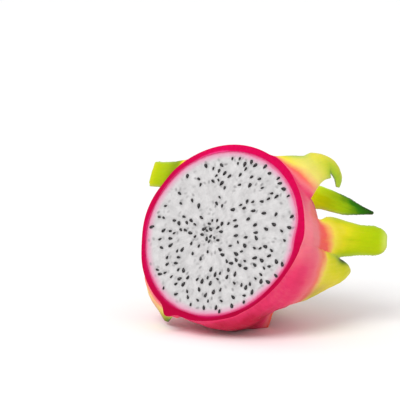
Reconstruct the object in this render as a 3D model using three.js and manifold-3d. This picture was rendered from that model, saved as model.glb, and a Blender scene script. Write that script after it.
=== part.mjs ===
// Half a dragon fruit, cut across the middle and lying on its side, blossom end behind.
// Two bodies: the rind, a cup with its leafy scales grown on it, and the pulp with its seeds.
//
// Fruit frame: the cut face is the plane z = 0 and looks along +Z, the blossom end is at -Z.
// A place on the fruit is given as (angle, radius, depth): the angle turns from +X to +Y,
// the depth is counted from the cut face towards the blossom end.

import * as THREE from 'three';
import { mergeVertices } from 'three/addons/utils/BufferGeometryUtils.js';
import Module from 'manifold-3d';

const wasm = await Module();
wasm.setup();

// Driving dimensions, in millimetres and degrees.
const LEAN = 26;             // the cut face leans back this far from upright
const FACE_HEIGHT = 48;      // middle of the cut face above the table
const PLACE = [-7.71, -25.8];   // puts the middle of the outline over the origin
const PULP_R = 41;           // pulp radius at the cut
const PULP_DEPTH = 47;       // cut face to the end of the pulp
const RIND = 3.3;            // mean rind thickness at the cut
const OFF_CENTRE = 0.9;      // behind the cut the rind is thicker towards +X by this
const DEPTH = 57;            // cut face to the blossom end
const FULLNESS = [2.25, 0.52];
const SCAR_DEPTH = 55.5;     // the body ends here in the rim of the flower scar
const SCAR = [[8.2, 55.8], [6.2, 54.2], [3.2, 52.2], [0, 51.6]];   // its radius and depth, sinking in
const GAP = 0.3;             // clearance between rind and pulp
const CUT_MARGIN = 6;        // everything grown past the cut face is sliced off

// Outlines of the rind and of the pulp at the cut, which are not quite round, and which give way
// to the ribs within RIM_RUN of the cut face: angle, height, half width.
const RIM_RUN = 7;
const RIND_RIM = [
  [-168, -1, 14],
  [-114, 3.6, 4.5],
  [-96, 0.3, 9],
  [-70, -1.4, 22],
  [-38, -1.75, 20],
  [-14, -1.35, 10],
  [4, 0.5, 7],
  [100, 0.5, 34],
  [138, 0.2, 14],
  [150, -0.4, 8],
];
const PULP_RIM = [[-124, 0.5, 26], [-38, -0.9, 28], [3, -1.05, 9], [130, 0.65, 24]];

// Ribs that run back from the cut face: angle, height, half width, length.
const RIBS = [
  [6.5, 1.9, 9, 34],
  [80, 0.6, 12, 40],
  [178, 0.5, 12, 40],
  [-115, 1.6, 6, 25],
  [-66, 0.6, 10, 40],
];
// Flats that the body falls into behind the cut face: angle, depth, half width, start, full.
const FLATS = [[-56, 4, 14, 6, 30]];

// Facets.
const BODY_SIDES = 72;
const BODY_ROWS = 12;
const PULP_SIDES = 48;
const PULP_ROWS = 8;
const SCALE_STRIPS = 6;

// Seeds on the cut face.
const SEED_COUNT = 190;
const SEED_DRAW = 4207;
const SEED_SIZE = [1.3, 0.8];    // half length, half width
const SEED_STAND = 0.45;          // how far a seed stands out of the pulp
const SEED_ROOT = 0.5;
const SEED_REACH = 39;            // furthest seed from the middle
const SEED_SPACING = 2.5;
const HEART = [-4.6, 0.6];        // middle of the dense cluster of seeds
const HEART_REACH = 6;
const HEART_SHARE = 0.1;          // of the draws fall in the cluster

// Scales that show from the front and the right.
// spine: middle line as (angle, radius, depth); width: half width along it;
// cup: half angle of the curved section; twist: turn about the spine; thick: root and tip;
// faces: where the outer face looks at the root, if not away from the fruit's axis.
const SCALES = [
  { // upper right: broad root along the rim, tip hooked over
    spine: [[46.8, 42.6, 2], [47.6, 46.4, 5], [48.8, 50, 9.1], [50.2, 53.2, 13.9], [51.6, 56.2, 18.2],
      [52, 58.4, 21.7], [50.9, 59.5, 24.7], [48, 59.4, 26.9], [44.4, 57.9, 28.1], [40.7, 55.2, 28.6]],
    width: [[0, 14], [0.12, 13], [0.29, 10], [0.42, 8.2], [0.56, 8.7], [0.66, 7.6], [0.77, 6],
      [0.88, 3.8], [1, 1.4]],
    cup: [[0, 17], [0.5, 22], [1, 29]],
    steps: 15,
  },
  { // behind it, a long pointed blade turned to show its inner face
    spine: [[60, 34, 30], [57, 39, 33], [46.5, 44.5, 37], [37, 51, 42], [30, 61, 50]],
    width: [[0, 8], [0.3, 7.9], [0.42, 6.8], [0.6, 5.4], [0.85, 2.7], [1, 0.5]],
    cup: [[0, 17], [1, 6]],
    twist: [[0, 0], [0.4, 30], [1, 50]],
  },
  { // right: blunt finger with rolled margins
    spine: [[9.6, 42, 4], [10.1, 45.5, 16], [13.1, 50, 28], [14, 57, 37], [13.9, 63.6, 42.8],
      [13.6, 67.5, 44.8]],
    width: [[0, 8], [0.15, 8], [0.28, 8.3], [0.4, 9.6], [0.52, 10.4], [0.62, 9.6], [0.75, 8.2], [1, 8.3]],
    cup: [[0, 11], [0.5, 32], [1, 50]],
    blunt: 0.12,
    steps: 12,
  },
  { // lower right: the largest, lying close along the body, its far margin folded in
    spine: [[-25, 41, 4], [-22, 44.6, 9], [-17, 46.2, 17], [-12.8, 46.9, 26], [-8.6, 47.8, 35.5],
      [-4.9, 48.5, 41.9], [-0.5, 47.8, 48.2]],
    width: [[0, 15], [0.13, 15.5], [0.33, 15.2], [0.52, 13], [0.72, 10.3], [0.86, 7.9], [0.95, 5.2], [1, 2]],
    cup: [[0, 23], [0.5, 30], [0.8, 45], [1, 50]],
    thick: [4.4, 1.6],
    steps: 12,
  },
  { // under the fruit, its end turned up
    spine: [[-78, 42, 2], [-77, 43.5, 8], [-73, 42, 18], [-66.5, 39.8, 26], [-59, 37.4, 33]],
    width: [[0, 11], [0.45, 11], [0.8, 8.5], [1, 6.2]],
    cup: [[0, 17], [1, 14]],
    twist: [[0, 0], [0.5, 0], [1, -45]],
  },
  { // lower left: a short broad triangle with its point under a corner of the rind
    spine: [[-129.3, 43.7, 3], [-129.3, 45.3, 4.8], [-128.8, 46.6, 7.4], [-127.2, 48.2, 10.4],
      [-124.9, 50, 13.6], [-122.9, 51.5, 15.8]],
    width: [[0, 15], [0.2, 15], [0.42, 13.3], [0.62, 11.6], [0.85, 7.6], [1, 3.2]],
    cup: [[0, 15], [0.5, 12], [1, 10]],
    thick: [2.4, 1.4],
  },
  { // upper left: spread outwards, with a cut-off end
    spine: [[135.7, 40.5, 3.4], [142.8, 46.2, 4.4], [148, 52.4, 5.6], [151.1, 57.6, 6.8]],
    width: [[0, 8], [0.4, 7], [1, 6.6]],
    cup: [[0, 14], [1, 6]],
    faces: [0, 0, 1],
  },
];

// Scales on the far side: angle, depth of the root, length, half width, lean away from the body.
const FAR_SCALES = [
  [95, 2.5, 36, 13, 12],
  [-172, 2.5, 34, 13, 12],
  [118, 22, 38, 11, 18],
  [166, 20, 40, 11, 18],
  [-148, 24, 36, 11, 14],
  [-106, 24, 34, 10, 2],
];

// Narrow scales round the flower scar: angle, length, lean away from the axis.
const CROWN = [
  [20, 20, 22],
  [72, 26, 30],
  [122, 30, 36],
  [172, 30, 36],
  [-138, 28, 28],
  [-88, 22, 8],
  [-36, 14, 10],
];
const CROWN_ROOT = [14, 46];   // radius and depth of their roots
const CROWN_WIDTH = 6;

// ---------------------------------------------------------------------------------------------

const DEG = Math.PI / 180;

function ease(a, b, x) {
  const t = THREE.MathUtils.clamp((x - a) / (b - a), 0, 1);
  return t * t * (3 - 2 * t);
}

function turnBetween(a, b) {
  return THREE.MathUtils.euclideanModulo(a - b + 180, 360) - 180;
}

// Smooth curve through (place, value) knots.
function along(knots, u) {
  const last = knots.length - 1;
  let i = 0;
  while (i < last - 1 && u >= knots[i + 1][0]) {
    i += 1;
  }
  const slope = (k) => {
    const a = Math.max(k - 1, 0);
    const b = Math.min(k + 1, last);
    return (knots[b][1] - knots[a][1]) / (knots[b][0] - knots[a][0]);
  };
  if (last === 0) {
    return knots[0][1];
  }
  const h = knots[i + 1][0] - knots[i][0];
  const t = (u - knots[i][0]) / h;
  return (2 * t ** 3 - 3 * t ** 2 + 1) * knots[i][1]
    + (t ** 3 - 2 * t ** 2 + t) * h * slope(i)
    + (3 * t ** 2 - 2 * t ** 3) * knots[i + 1][1]
    + (t ** 3 - t ** 2) * h * slope(i + 1);
}

function place(angle, radius, depth) {
  return new THREE.Vector3(radius * Math.cos(angle * DEG), radius * Math.sin(angle * DEG), -depth);
}

// ---- body ----

function swell(depth, radius, length) {
  const t = THREE.MathUtils.clamp(depth / length, 0, 1);
  return radius * (1 - t ** FULLNESS[0]) ** FULLNESS[1];
}

function flats(angle, depth) {
  return FLATS.reduce((sum, [at, drop, half, start, full]) => (
    sum + drop * Math.exp(-((turnBetween(angle, at) / half) ** 2)) * ease(start, full, depth)), 0);
}

function bumps(outline, angle) {
  return outline.reduce((sum, [at, height, half]) => (
    sum + height * Math.exp(-((turnBetween(angle, at) / half) ** 2))), 0);
}

function bodyRadius(angle, depth) {
  const r = swell(depth, PULP_R + RIND, DEPTH);
  let ribs = OFF_CENTRE * Math.cos(angle * DEG);
  for (const [at, height, half, length] of RIBS) {
    ribs += bumps([[at, height, half]], angle) * (1 - ease(length * 0.4, length, depth));
  }
  const behind = ease(0, RIM_RUN, depth);
  const extra = ribs * behind + bumps(RIND_RIM, angle) * (1 - behind) - flats(angle, depth);
  return r + extra * r / (PULP_R + RIND);
}

function pulpRadius(angle, depth) {
  const r = swell(depth, PULP_R, PULP_DEPTH);
  const rim = bumps(PULP_RIM, angle) * (1 - ease(0, RIM_RUN, depth));
  return r + (rim - flats(angle, depth)) * r / PULP_R;
}

// ---- solids ----

// A closed geometry from rows of points; each row is a ring, the first and last are closed by a point.
function ringed(rings, first, last) {
  const sides = rings[0].length;
  const points = rings.flat().concat([first, last]);
  const index = [];
  for (let i = 0; i < rings.length - 1; i += 1) {
    for (let j = 0; j < sides; j += 1) {
      const a = i * sides + j;
      const b = i * sides + (j + 1) % sides;
      index.push(a, a + sides, b + sides, a, b + sides, b);
    }
  }
  const end = (rings.length - 1) * sides;
  for (let j = 0; j < sides; j += 1) {
    index.push(points.length - 2, j, (j + 1) % sides);
    index.push(points.length - 1, end + (j + 1) % sides, end + j);
  }
  return indexed(points, index);
}

function indexed(points, index) {
  const geometry = new THREE.BufferGeometry();
  geometry.setAttribute('position', new THREE.Float32BufferAttribute(points.flatMap((p) => p.toArray()), 3));
  geometry.setIndex(index);
  return geometry;
}

function toSolid(geometry) {
  geometry.deleteAttribute('normal');
  geometry.deleteAttribute('uv');
  const merged = mergeVertices(geometry, 1e-4);
  return new wasm.Manifold(new wasm.Mesh({
    numProp: 3,
    vertProperties: new Float32Array(merged.attributes.position.array),
    triVerts: new Uint32Array(merged.index.array),
  }));
}

function toGeometry(solid) {
  const mesh = solid.getMesh();
  const points = new Float32Array(mesh.numVert * 3);
  for (let i = 0; i < mesh.numVert; i += 1) {
    for (let k = 0; k < 3; k += 1) {
      points[i * 3 + k] = mesh.vertProperties[i * mesh.numProp + k];
    }
  }
  const geometry = new THREE.BufferGeometry();
  geometry.setAttribute('position', new THREE.BufferAttribute(points, 3));
  geometry.setIndex(Array.from(mesh.triVerts));
  return geometry;
}

function joined(solids) {
  return solids.reduce((all, next) => all.add(next));
}

function slab(width, height, thickness, matrix) {
  return toSolid(new THREE.BoxGeometry(width, height, thickness).applyMatrix4(matrix));
}

// Rings of a surface of the fruit, from in front of the cut face back to the given depth.
function surfaceRings(radiusAt, sides, rows, length, ahead) {
  const ring = (depth) => Array.from({ length: sides }, (_, j) => {
    const angle = j * 360 / sides;
    return place(angle, radiusAt(angle, Math.max(depth, 0)), depth);
  });
  const rings = ahead > 0 ? [ring(-ahead)] : [];
  for (let i = 0; i < rows; i += 1) {
    rings.push(ring(length * Math.sin(i / rows * Math.PI / 2)));
  }
  return rings;
}

function middleOf(points) {
  return points.reduce((sum, p) => sum.add(p), new THREE.Vector3()).divideScalar(points.length);
}

// ---- scales ----

function spineOf(knots, steps) {
  const curve = new THREE.CatmullRomCurve3(knots.map((k) => place(...k)), false, 'catmullrom', 0.5);
  curve.arcLengthDivisions = 400;
  return curve.getSpacedPoints(steps);
}

function scaleSolid({
  spine, width, cup, twist = [[0, 0]], thick = [3.4, 1.5], blunt = 0, steps = 9, faces,
}) {
  const points = spineOf(spine, steps);
  const outward = faces ? new THREE.Vector3(...faces) : place(spine[0][0], 1, 0);
  const outer = [];
  const inner = [];
  for (let i = 0; i <= steps; i += 1) {
    const u = i / steps;
    const tangent = points[Math.min(i + 1, steps)].clone().sub(points[Math.max(i - 1, 0)]).normalize();
    outward.addScaledVector(tangent, -outward.dot(tangent)).normalize();
    const facing = outward.clone().applyAxisAngle(tangent, along(twist, u) * DEG);
    const across = tangent.clone().cross(facing);
    const taper = blunt > 0 ? Math.max(0, (u - 1 + blunt) / blunt) : 0;
    const half = along(width, u) * Math.sqrt(1 - (0.9 * taper) ** 2);
    const bend = along(cup, u) * DEG;
    const thickness = thick[0] + (thick[1] - thick[0]) * ease(0.1, 0.8, u);
    for (let j = 0; j <= SCALE_STRIPS; j += 1) {
      const v = -1 + 2 * j / SCALE_STRIPS;
      const normal = facing.clone().multiplyScalar(Math.cos(v * bend))
        .addScaledVector(across, Math.sin(v * bend));
      const middle = points[i].clone()
        .addScaledVector(across, half / bend * Math.sin(v * bend))
        .addScaledVector(facing, -half / bend * (1 - Math.cos(v * bend)));
      const t = thickness * (1 - 0.6 * Math.abs(v) ** 2.5) / 2;
      outer.push(middle.clone().addScaledVector(normal, t));
      inner.push(middle.clone().addScaledVector(normal, -t));
    }
  }
  const rings = [];
  const columns = SCALE_STRIPS + 1;
  for (let i = 0; i <= steps; i += 1) {
    const top = outer.slice(i * columns, (i + 1) * columns);
    const under = inner.slice(i * columns, (i + 1) * columns);
    rings.push(under.concat(top.reverse()));
  }
  return toSolid(ringed(rings, middleOf(rings[0]), middleOf(rings[steps])));
}

function farScale([angle, root, length, half, lean]) {
  const step = length / 3;
  const spine = [0, 1, 2, 3].map((k) => {
    const depth = root + step * k * Math.cos(lean * DEG);
    const onBody = bodyRadius(angle, Math.min(Math.max(depth, 0), DEPTH * 0.8));
    return [angle, Math.max(onBody, bodyRadius(angle, Math.max(root, 0)) - 1.6 * k ** 2)
      - 2 + k * step * Math.sin(lean * DEG), depth];
  });
  return scaleSolid({
    spine,
    width: [[0, half], [0.3, half * 0.94], [0.65, half * 0.6], [0.88, half * 0.27], [1, 0.6]],
    cup: [[0, 17], [1, 20]],
  });
}

function crownScale([angle, length, lean]) {
  const [radius, depth] = CROWN_ROOT;
  const spine = [0, 1, 2, 3].map((k) => {
    const turn = lean * (0.35 + 0.45 * k) * DEG;
    return [angle, radius + k * length / 3 * Math.sin(turn), depth + k * length / 3 * Math.cos(turn)];
  });
  return scaleSolid({
    spine,
    width: [[0, CROWN_WIDTH], [0.4, CROWN_WIDTH * 0.95], [0.75, CROWN_WIDTH * 0.6], [1, 0.6]],
    cup: [[0, 26], [1, 17]],
    steps: 7,
  });
}

// ---- seeds ----

// Repeatable draw between 0 and 1.
function drawer(start) {
  let state = start;
  return () => {
    state = (state * 16807) % 2147483647;
    return state / 2147483647;
  };
}

function seedPlaces() {
  const draw = drawer(SEED_DRAW);
  const places = [];
  while (places.length < SEED_COUNT) {
    const clustered = draw() < HEART_SHARE;
    const radius = (clustered ? HEART_REACH : SEED_REACH) * Math.sqrt(draw());
    const angle = draw() * 2 * Math.PI;
    const turn = (draw() - 0.5) * 1.8;
    const x = radius * Math.cos(angle) + (clustered ? HEART[0] : 0);
    const y = radius * Math.sin(angle) + (clustered ? HEART[1] : 0);
    const spacing = SEED_SPACING * (clustered ? 0.75 : 1);
    if (places.every((p) => Math.hypot(p.x - x, p.y - y) > spacing)) {
      places.push({ x, y, turn: Math.atan2(y - HEART[1], x - HEART[0]) + turn });
    }
  }
  return places;
}

// A tear-shaped seed, half sunk, its point towards the middle of the fruit.
function seedSolid({ x, y, turn }) {
  const outline = [[-1.15, 0], [-0.3, -0.85], [0.65, -0.9], [1.05, 0], [0.65, 0.9], [-0.3, 0.85]];
  const ring = outline.map(([a, b]) => new THREE.Vector3(a * SEED_SIZE[0], b * SEED_SIZE[1], -0.08));
  const crown = new THREE.Vector3(0.15, 0, SEED_STAND);
  const root = new THREE.Vector3(0.15, 0, -SEED_ROOT);
  const geometry = ringed([ring], crown, root);
  geometry.rotateZ(turn);
  geometry.translate(x, y, 0);
  return toSolid(geometry);
}

// ---- rind and pulp ----

// Everything below the table and everything ahead of the cut face, as slabs in the fruit frame.
const lie = new THREE.Matrix4().makeRotationX((90 - LEAN) * DEG).setPosition(0, 0, FACE_HEIGHT);
const below = new THREE.Matrix4().makeTranslation(0, 0, -30);
const table = slab(400, 400, 60, lie.clone().invert().multiply(below));
const ahead = slab(400, 400, 60, new THREE.Matrix4().makeTranslation(0, 0, 30));

function rindSolid() {
  const rings = surfaceRings(bodyRadius, BODY_SIDES, BODY_ROWS, SCAR_DEPTH, CUT_MARGIN);
  const scar = [[bodyRadius(0, SCAR_DEPTH), SCAR_DEPTH], ...SCAR];
  for (const [radius, depth] of scar.slice(0, -1)) {
    rings.push(Array.from({ length: BODY_SIDES }, (_, j) => place(j * 360 / BODY_SIDES, radius, depth)));
  }
  const body = toSolid(ringed(rings, place(0, 0, -CUT_MARGIN), place(0, ...SCAR[SCAR.length - 1])));
  const scales = SCALES.map(scaleSolid).concat(FAR_SCALES.map(farScale), CROWN.map(crownScale));
  const roomRadius = (angle, depth) => pulpRadius(angle, depth) + GAP;
  const hollow = surfaceRings(roomRadius, PULP_SIDES, PULP_ROWS, PULP_DEPTH, CUT_MARGIN);
  const room = toSolid(ringed(hollow, place(0, 0, -CUT_MARGIN), place(0, 0, PULP_DEPTH + GAP)));
  return joined([body, ...scales]).subtract(room).subtract(ahead).subtract(table);
}

function pulpSolid() {
  const rings = surfaceRings(pulpRadius, PULP_SIDES, PULP_ROWS, PULP_DEPTH, 0);
  const body = toSolid(ringed(rings, place(0, 0, 0), place(0, 0, PULP_DEPTH)));
  return joined([body, ...seedPlaces().map(seedSolid)]);
}

const rindMaterial = new THREE.MeshStandardMaterial({ color: 0xd8265f, roughness: 0.5, metalness: 0 });
const pulpMaterial = new THREE.MeshStandardMaterial({ color: 0xe6e4e8, roughness: 0.35, metalness: 0 });

const peel = new THREE.Mesh(toGeometry(rindSolid()), rindMaterial);
peel.name = 'peel';
const flesh = new THREE.Mesh(toGeometry(pulpSolid()), pulpMaterial);
flesh.name = 'flesh';

const half = new THREE.Group();
half.add(peel, flesh);
half.rotation.x = (90 - LEAN) * DEG;
half.position.set(PLACE[0], PLACE[1], FACE_HEIGHT);

const dragonFruit = new THREE.Group();
dragonFruit.add(half);

export default dragonFruit;
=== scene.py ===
"""Half a dragon fruit, cut across the middle and lying on its side, blossom end behind.

The rind with its leafy scales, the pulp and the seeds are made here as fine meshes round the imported
model, with their finishes, and stand in a small pale studio.

Fruit frame: the cut face is the plane z = 0 and looks along +Z, the blossom end is at -Z.
A place on the fruit is given as (angle, radius, depth): the angle turns from +X to +Y, the depth is
counted from the cut face towards the blossom end. Lengths in this frame are millimetres.
"""

import math

import bpy
import numpy as np
import openvdb
from mathutils import Matrix, Vector, noise
from mathutils.kdtree import KDTree


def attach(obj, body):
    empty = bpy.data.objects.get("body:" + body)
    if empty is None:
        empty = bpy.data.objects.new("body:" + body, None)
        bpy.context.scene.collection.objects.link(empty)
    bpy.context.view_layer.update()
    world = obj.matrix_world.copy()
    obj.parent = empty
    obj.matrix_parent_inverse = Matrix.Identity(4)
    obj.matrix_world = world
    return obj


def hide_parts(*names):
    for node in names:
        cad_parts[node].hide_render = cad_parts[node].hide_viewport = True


bl_info = {
    "name": "Dragon fruit half",
    "version": (1, 0, 0),
    "blender": (4, 5, 0),
    "location": "3D View > Sidebar > Dragon fruit",
    "description": "Builds half a dragon fruit with its scales, pulp and seeds",
    "category": "Object",
}

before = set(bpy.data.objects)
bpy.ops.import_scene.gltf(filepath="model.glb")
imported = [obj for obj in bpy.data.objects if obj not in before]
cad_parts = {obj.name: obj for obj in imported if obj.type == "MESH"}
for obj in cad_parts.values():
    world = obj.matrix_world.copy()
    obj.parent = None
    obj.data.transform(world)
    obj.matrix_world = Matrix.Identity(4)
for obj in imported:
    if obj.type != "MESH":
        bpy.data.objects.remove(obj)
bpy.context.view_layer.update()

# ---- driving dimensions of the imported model, in millimetres and degrees ----

LEAN = 26                    # the cut face leans back this far from upright
FACE_HEIGHT = 48             # middle of the cut face above the table
PLACE = (-7.71, -25.8)       # middle of the cut face over the table
OFF_CENTRE = 0.9             # behind the cut the rind is thicker towards +X by this
FULLNESS = (2.25, 0.52)      # powers of the curve that the body rounds off along
SCAR_DEPTH = 55.5            # the body ends here in the rim of the flower scar
SCAR = [(8.2, 55.8), (6.2, 54.2), (3.2, 52.2), (0, 51.6)]   # its hollow: radius, depth
GAP = 0.3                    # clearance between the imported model's rind and pulp
PULP_CLEARANCE = 0.02        # the fine pulp fills the rind up to this
CUT_MARGIN = 6               # the body and the pulp's room start this far ahead of the cut face
CUTTER_HALF = (200, 30)      # half width and half thickness of the slabs that cut the rind

# Outlines of the rind and of the pulp at the cut, which are not quite round, and which give way to
# the ribs within RIM_RUN of the cut face: angle, height, half width.
RIM_RUN = 7
RIND_RIM = [(-168, -1, 14), (-114, 3.6, 4.5), (-96, 0.3, 9), (-70, -1.4, 22), (-38, -1.75, 20),
            (-14, -1.35, 10), (4, 0.5, 7), (100, 0.5, 34), (138, 0.2, 14), (150, -0.4, 8)]
PULP_RIM = [(-124, 0.5, 26), (-38, -0.9, 28), (3, -1.05, 9), (130, 0.65, 24)]

# Where the cut rind is darker: partly its own deeper colour where it is thin, partly painted shade on
# the lower side and at the upper left, and lighter at the top: angle, share, half width.
RING_DEPTH_AND_SHADE = [(-85, 0.5, 55), (-52, 0.35, 14), (-74, 0.25, 12), (-14, 0.35, 16), (-125, 0.3, 16),
             (98, -0.25, 22), (150, 0.45, 15), (-165, 0.2, 18)]

# How much further in the stain where pulp and rind meet lies, or further out below 0: angle,
# distance, half width.
# At the upper left the farther reach also widens the painted light of the lit stain.
STAIN_REACH = [(104, -0.45, 22), (168, -0.45, 18), (-105, -0.2, 14), (135, -0.1, 12)]

# Ribs that run back from the cut face: angle, height, half width, length.
RIBS = [(6.5, 1.9, 9, 34), (80, 0.6, 12, 40), (178, 0.5, 12, 40), (-115, 1.6, 6, 25), (-66, 0.6, 10, 40)]
# Flats behind the cut face: angle, drop, half width, depths where it starts and where it is full.
FLATS = [(-56, 4, 14, 6, 30)]

# Patches of the body's skin round the fruit: angle, share, half width.
PALE_SIDE = [(10, 1, 18)]
# painted shade: the skin on the underside is darker
UNDERSIDE_SHADE = [(-66, 1, 17)]
TANNED_SIDE = [(24, 1, 10)]
PAINTED_LIGHT_RIM = [(112, 1, 40)]     # where the stained edge is painted lighter: painted light on the upper left

# Tone of the body's bare skin, and what those patches and three faint stripes add to it.
BODY_TONE = 0.12
PALE_TONE = 0.11
# painted shade: how far the underside's tone drops towards crimson
UNDER_SHADE_TONE = -0.15
TANNED_TONE = 0.2
STRIPE_TONE = 0.035

# Soft relief of the skin and of the pulp's face: size, height, place in the noise.
SKIN_RELIEF = [(9.0, 0.5, 3.1), (2.6, 0.12, 8.2)]
FACE_RELIEF = [(5, 0.10, 2.0), (1.4, 0.035, 5.0)]
FACE_DROP = 0.12             # the pulp's face lies this far behind the knife's plane,
EDGE_DROP = 0.08             # its outer edge this much further
HALO_DROP = 0.10             # and so does the pulp round a seed
FAINT_RISE = 0.05            # the pulp rises this far over a faint seed
CLEAN_EDGE = 0.35            # the stain on the pulp is counted from this far inside its edge

SEED_DRAW = 4207             # start of the draws that place the seeds
SEED_REACH = 39              # furthest seed from the middle
SEED_SPACING = 2.5           # least distance between their middles
SEED_TURN = 1.8              # range in radians of their turn away from pointing at the cluster
SEED_SINK = 0.3              # how far a seed's middle lies below the face, for a stand of 1
SEED_HEIGHT = 1.25           # and its own half height
FAINT_SPACING = 1.35         # least distance of a faint seed from every other seed
HEART = (-4.6, 0.6)          # middle of the dense cluster of seeds
HEART_REACH = 6              # its radius
HEART_SHARE = 0.1            # share of the draws that fall in it
HEART_SPACING = 0.75         # share of the usual spacing there
# How far a seed darkens the pulp round it, and how large a faint seed is: half length, half width.
SEED_HALO = (1.9, 1.5)
FAINT_SEED = (1.0, 0.62)
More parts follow.
